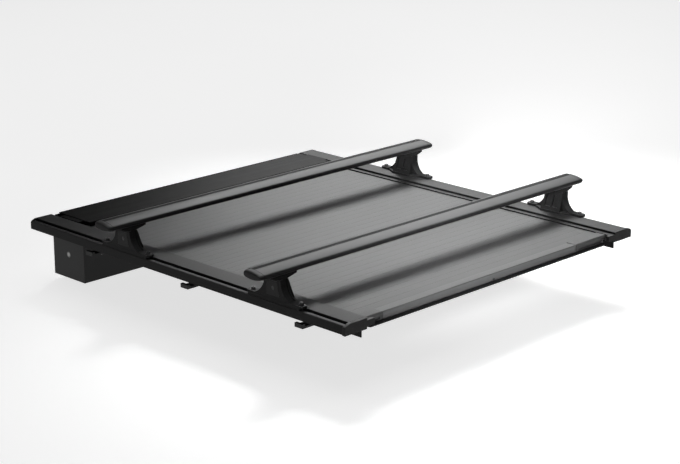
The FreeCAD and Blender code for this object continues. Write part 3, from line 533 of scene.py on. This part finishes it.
def extruded_rows(name, outline, half, offsets):
    """The outline, stretched from -half to +half across the truck, once at each offset along it."""
    work = bmesh.new()
    count = len(outline)
    for offset in offsets:
        ends = [[work.verts.new((x / 1000, (y + offset) / 1000, z / 1000)) for y, z in outline]
                for x in (-half, half)]
        for i in range(count):
            j = (i + 1) % count
            work.faces.new((ends[0][i], ends[0][j], ends[1][j], ends[1][i]))
        work.faces.new(ends[0][::-1])
        work.faces.new(ends[1])
    bmesh.ops.recalc_face_normals(work, faces=work.faces)
    mesh = bpy.data.meshes.new(name)
    work.to_mesh(mesh)
    work.free()
    smooth_by_angle(mesh, SMOOTH_DRAWN)
    return mesh


def gather(piece):
    """Reads how far the cover slides and gives the piece a mesh of its own."""
    travel = next(j for j in frame["joints"] if j["name"] == "cover_slide")["range_m"][1]
    length = GATHER_Y - FIRST / 1000
    1 - travel / length
    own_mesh(piece)


slat_rows = [FIRST + PITCH * i for i in range(SLATS)]
slat_mesh = extruded_rows("slats", slat_outline(), SLAT_HALF_LENGTH, slat_rows)
slats = stand_in("slats", slat_mesh, "curtain_slats", slat_coat)
gather(slats)
glides = stand_in("glides", welded("slat_glides"), "slat_glides", nylon)
gather(glides)
straps = stand_in("straps", welded("leader_straps"), "leader_straps", webbing)
gather(straps)
print("slats:", SLATS, "of", PITCH, "mm,", len(slat_outline()), "points round each")

# %% [markdown]
# ## End rail, lock and seal
#
# The end rail pulls the cover shut. Two moulded ends run in the rails, a soft seal meets the tailgate, and
# a lock in the middle turns a cam that pushes a rod out into each rail.

# %% Dress the end rail
end_pieces = [eased("end_rail", end_rail_coat, 0.0008)]
for side in SIDES:
    end_pieces.append(eased("end_piece_" + side, end_moulding, 0.0008))
    dress("lock_rod_" + side, zinc)
dress("tailgate_seal", rubber)
dress("lock_cam", lock_face)
report("end rail and its ends", *end_pieces)

# %% [markdown]
# ## The canister
#
# A folded sheet box hangs from the rails at the cab end and holds the drum. Only its lid shows from above,
# so the lid and its brackets get the darkest coat: black, painted darker still as a painted dark reflection;
# the rest gets a plain sheet coat with visible screws.

# %% Dress the canister
canister = [eased("canister_lid", lid_coat, 0.0008)]
for part in ("floor", "rear_wall", "front_wall", "ends"):
    canister.append(eased("canister_" + part, canister_coat, 0.0004))
canister.append(eased("lid_brackets", lid_coat, 0.0004))
for node, material in (("canister_screws", zinc), ("lid_screws", bolt_black), ("entry_nose", moulding),
                       ("bulkhead_seal", rubber), ("drain_nipples", moulding), ("drum_tube", mill),
                       ("drum_hubs", nylon), ("drum_bushings", nylon), ("spring_shaft", zinc),
                       ("assist_spring", zinc)):
    dress(node, material)
report("canister", *canister)

# %% [markdown]
# ## Bed clamps
#
# Three clamps a side pinch the bed's inner flange: a bracket under the rail, a jaw below it and a bolt
# between them. The brackets and jaws are short cut lengths of extrusion, anodised black.

# %% Dress the clamps
clamps = [eased("clamp_" + part, clamp_coat, 0.0006) for part in ("brackets", "jaws")]
dress("clamp_bolts", zinc)
report("clamps", *clamps)

# %% [markdown]
# ## Crossbars
#
# Each crossbar is one wing: a blunt nose, a crest over the T-slot, and a top that falls toward a thinner
# tail. A rubber strip fills the slot and its flange, about a fifth of a millimetre thick, lies over the
# slot's lips. A domed cap closes each end. The real wing is hollow, but only its outside and its slot show.
# A wing lives by its smooth highlight, so its outline is drawn here from four arcs with many points, instead
# of the coarser facets that solids arrive with.

# %% Draw the wing, its strip and its caps
BARS = ("front", "rear")
WING_LOW, WING_HIGH, WING_HALF_WIDTH, WING_HALF_LENGTH = 133.0, 167.0, 45.0, 861.0
SLOT_Y, SLOT_MOUTH, SLOT_CAVITY, SLOT_NECK, SLOT_DEPTH = 17.0, 4.5, 9.0, 5.0, 13.0
CAP_LENGTH, CAP_SKIRT, CAP_SKIRT_IN, CAP_DOME_IN = 22.0, 9.0, 0.5, 6.5
LIP_REACH, LIP_DROP, TOP_FROM = 6, 0.06, 158
STRIP_WIDTH, STRIP_FIT, FLANGE_SEAT, FLANGE_TOP = 19.0, 0.3, 0.03, 0.24
RIB_HEIGHT, RIBS, RIB_STEPS = 0.06, 5, 20


def through(first, middle, last, steps):
    """Points on the circle through three points, from the first up to but not including the last."""
    (ay, az), (by, bz), (cy, cz) = first, middle, last
    d = 2 * (ay * (bz - cz) + by * (cz - az) + cy * (az - bz))
    a2, b2, c2 = ay * ay + az * az, by * by + bz * bz, cy * cy + cz * cz
    oy = (a2 * (bz - cz) + b2 * (cz - az) + c2 * (az - bz)) / d
    oz = (a2 * (cy - by) + b2 * (ay - cy) + c2 * (by - ay)) / d
    start, via, end = (math.atan2(z - oz, y - oy) for y, z in (first, middle, last))
    full = 2 * math.pi
    if (via - start) % full > (end - start) % full:
        sweep = (end - start) % full - full
    else:
        sweep = (end - start) % full
    r = math.hypot(ay - oy, az - oz)
    return [(oy + r * math.cos(start + sweep * i / steps), oz + r * math.sin(start + sweep * i / steps))
            for i in range(steps)]


def wing_outline():
    """The wing from its end, as four arcs: nose, underside, tail and top."""
    w, mid = WING_HALF_WIDTH, (WING_LOW + WING_HIGH) / 2
    fore_top, fore_low = (w - 8, mid + 15.8), (w - 9, mid - 12.0)
    aft_low, aft_top = (8 - w, mid - 11.5), (8 - w, mid + 8.5)
    line = through(fore_top, (w, mid - 1), fore_low, 18)
    line += through(fore_low, (0, WING_LOW), aft_low, 30)
    line += through(aft_low, (-w, mid - 1.5), aft_top, 18)
    line += through(aft_top, (SLOT_Y, WING_HIGH), fore_top, 44)
    return line


def slotted(line):
    """The wing's outline with the T-slot let into its top."""
    near, far = SLOT_Y - SLOT_MOUTH, SLOT_Y + SLOT_MOUTH
    kept = [p for p in line if not (near < p[0] < far and p[1] > TOP_FROM)]
    cut = next(i for i, p in enumerate(kept) if p[0] >= far and p[1] > TOP_FROM and i > len(kept) // 2)
    rim = max(p[1] for p in line if abs(p[0] - SLOT_Y) < LIP_REACH) - LIP_DROP
    neck, floor_z = WING_HIGH - SLOT_NECK, WING_HIGH - SLOT_DEPTH
    aft, fore = SLOT_Y - SLOT_CAVITY, SLOT_Y + SLOT_CAVITY
    slot = [(near, rim), (near, neck), (aft, neck), (aft, floor_z),
            (fore, floor_z), (fore, neck), (far, neck), (far, rim)]
    return kept[:cut] + slot + kept[cut:]


def crest(y):
    """Height of the wing's top at y, read off its outline."""
    top = sorted(p for p in wing_outline() if p[1] > TOP_FROM)
    (ya, za), (yb, zb) = next((a, b) for a, b in zip(top, top[1:]) if a[0] <= y <= b[0])
    return za + (zb - za) * (y - ya) / (yb - ya)


def strip_outline():
    """Rubber strip: foot in the cavity, stem in the mouth, and a thin ribbed flange on the slot's lips."""
    foot, stem, half = SLOT_CAVITY - STRIP_FIT, SLOT_MOUTH - STRIP_FIT, STRIP_WIDTH / 2
    low, neck = WING_HIGH - SLOT_DEPTH, WING_HIGH - SLOT_NECK - STRIP_FIT
    line = [(-foot, low), (-foot, neck), (-stem, neck)]
    line += [(y, crest(SLOT_Y + y) + FLANGE_SEAT) for y in (-stem, -half)]
    for i in range(2 * RIB_STEPS + 1):
        y = half * (i / RIB_STEPS - 1)
        rib = RIB_HEIGHT * math.cos(math.pi * RIBS * y / half)
        line.append((y, crest(SLOT_Y + y) + FLANGE_TOP + rib))
    line += [(y, crest(SLOT_Y + y) + FLANGE_SEAT) for y in (half, stem)]
    line += [(stem, neck), (foot, neck), (foot, low)]
    return [(SLOT_Y + y, z) for y, z in line]


def capped_wing_end(bar_y, side):
    """Rings of the wing's outline, each (distance out, distance in): a proud lip, a skirt and a dome."""
    mid = (WING_LOW + WING_HIGH) / 2
    rings = [(0.0, -0.4), (1.0, -0.4), (1.4, 0.3), (CAP_SKIRT, CAP_SKIRT_IN)]
    for i in range(1, 9):
        t = math.radians(90 * i / 8)
        out = CAP_SKIRT + (CAP_LENGTH - CAP_SKIRT) * math.sin(t)
        rings.append((out, CAP_SKIRT_IN + CAP_DOME_IN * (1 - math.cos(t))))
    outline = wing_outline()
    work = bmesh.new()
    loops = []
    for out, shrink in rings:
        sy, sz = 1 - shrink / WING_HALF_WIDTH, 1 - shrink / (mid - WING_LOW)
        x = side * (WING_HALF_LENGTH + out) / 1000
        loops.append([work.verts.new((x, (bar_y + y * sy) / 1000, (mid + (z - mid) * sz) / 1000))
                      for y, z in outline])
    for a, b in zip(loops, loops[1:]):
        for i in range(len(outline)):
            j = (i + 1) % len(outline)
            work.faces.new((a[i], a[j], b[j], b[i]))
    work.faces.new(loops[0])
    work.faces.new(loops[-1])
    return work


def wing_caps(name, bar_y):
    """Both caps of one crossbar as one mesh."""
    whole = bpy.data.meshes.new(name)
    work = capped_wing_end(bar_y, 1)
    other = capped_wing_end(bar_y, -1)
    other.to_mesh(whole)
    work.from_mesh(whole)
    bmesh.ops.recalc_face_normals(work, faces=work.faces)
    work.to_mesh(whole)
    work.free()
    other.free()
    smooth_by_angle(whole, SMOOTH_CAPS)
    return whole


for bar in BARS:
    low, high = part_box(bar + "_crossbar")
    bar_y = 1000 * (low[1] + high[1]) / 2
    wing = extruded_rows(bar + "_wing", slotted(wing_outline()), WING_HALF_LENGTH, [bar_y])
    stand_in(bar + "_wing", wing, bar + "_crossbar", wing_coat)
    strip = extruded_rows(bar + "_strip", strip_outline(), WING_HALF_LENGTH, [bar_y])
    stand_in(bar + "_strip", strip, bar + "_bar_infill", rubber)
    stand_in(bar + "_caps", wing_caps(bar + "_caps", bar_y), bar + "_bar_caps", moulding)
    print("%s crossbar at y = %.0f mm, %d points round" % (bar, bar_y, len(wing_outline())))

# %% [markdown]
# ## Towers
#
# Each tower is one casting: a foot with a lug round each bolt, a column, and fins fore and aft whose rims
# stand a little past their web. A moulded cover with a lock closes its outer face, and a saddle on top
# carries the wing. A casting has no sharp corner at all, so its easing is as wide as the rail caps'.

# %% Dress the towers
towers = []
for bar in BARS:
    towers.append(eased(bar + "_foot_bolts", bolt_black, 0.0003))
    dress(bar + "_t_nuts", zinc)
    towers.append(eased(bar + "_tower_covers", moulding, 0.0006))
    for side in SIDES:
        towers.append(eased("%s_tower_%s" % (bar, side), tower_coat, 0.0012))
        towers.append(eased("%s_saddle_%s" % (bar, side), tower_coat, 0.0008))
        dress("%s_lock_core_%s" % (bar, side), lock_face)
report("towers", *towers)

# %% [markdown]
# ## The floor
#
# The floor gets a pale, faintly mottled paint so that soft shadows have something to lie on, and a glow of
# its own, as a lit acrylic sweep has.

# %% Finish
def studio_paint():
    coat = Coating("studio_floor_paint", emission_color=(1.0, 1.0, 1.0, 1.0), emission_strength=0.72,
                   specular_ior_level=0.1)
    cloud = coat.noise(0.8, detail=2.0)
    return coat.finish(coat.mix(cloud, (0.55, 0.55, 0.55), (0.60, 0.60, 0.60)), 0.75)


floor.data.materials.append(studio_paint())
